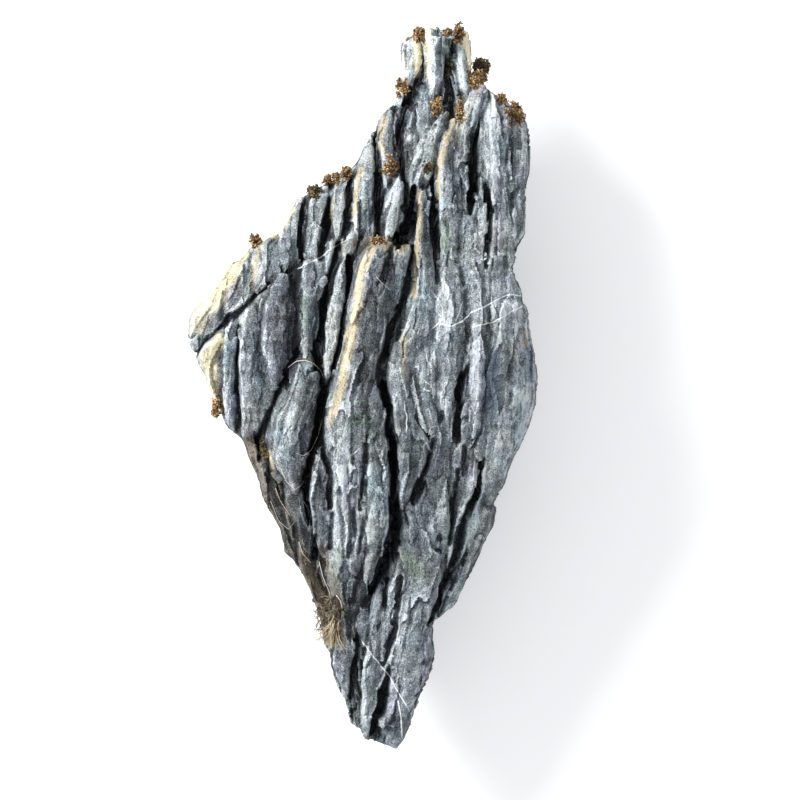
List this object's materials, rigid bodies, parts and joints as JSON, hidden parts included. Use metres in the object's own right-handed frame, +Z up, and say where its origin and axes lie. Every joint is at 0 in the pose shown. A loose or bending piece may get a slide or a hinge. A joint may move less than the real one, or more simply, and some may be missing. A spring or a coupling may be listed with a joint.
{
  "type": "seiryu stone",
  "caption": "Jagged blue-grey limestone pinnacle for aquascaping, lying on its back, with steep fluted shards, deep clefts, white calcite veins and dried moss on its crests.",
  "frame": {"origin": "on the resting plane, under the middle of the stone's box", "axes": "+Y along the stone from its tail to its crown, +X across the broad face to its right, +Z up through the broad face"},
  "size_m": [0.1751, 0.3603, 0.0972],
  "materials": {
    "stone": "rough, pitted, with white veins and cream weathering",
    "moss_rust": "dry matted plant fibre, rust brown",
    "moss_dark": "dry matted plant fibre, dark brown",
    "dried_roots": "dry straw-coloured root fibre"
  },
  "bodies": {
    "root": {"stone": "stone", "moss_crown_left": "moss_rust", "moss_crown_middle": "moss_rust", "moss_crown_right": "moss_rust", "moss_crown_cleft": "moss_dark", "moss_crown_sprig": "moss_dark", "moss_crown_flank": "moss_rust", "moss_crown_side": "moss_rust", "moss_middle": "moss_rust", "moss_pit": "moss_rust", "moss_shoulder_small": "moss_rust", "moss_shoulder": "moss_rust", "moss_rib": "moss_rust", "moss_recess": "moss_dark", "moss_left_a": "moss_rust", "moss_left_b": "moss_rust", "moss_left_c": "moss_rust", "moss_left_d": "moss_dark", "moss_wing": "moss_rust", "moss_pillar_top": "moss_rust", "moss_edge": "moss_rust", "moss_cleft": "moss_dark", "root_mat": "dried_roots"}
  },
  "joints": []
}
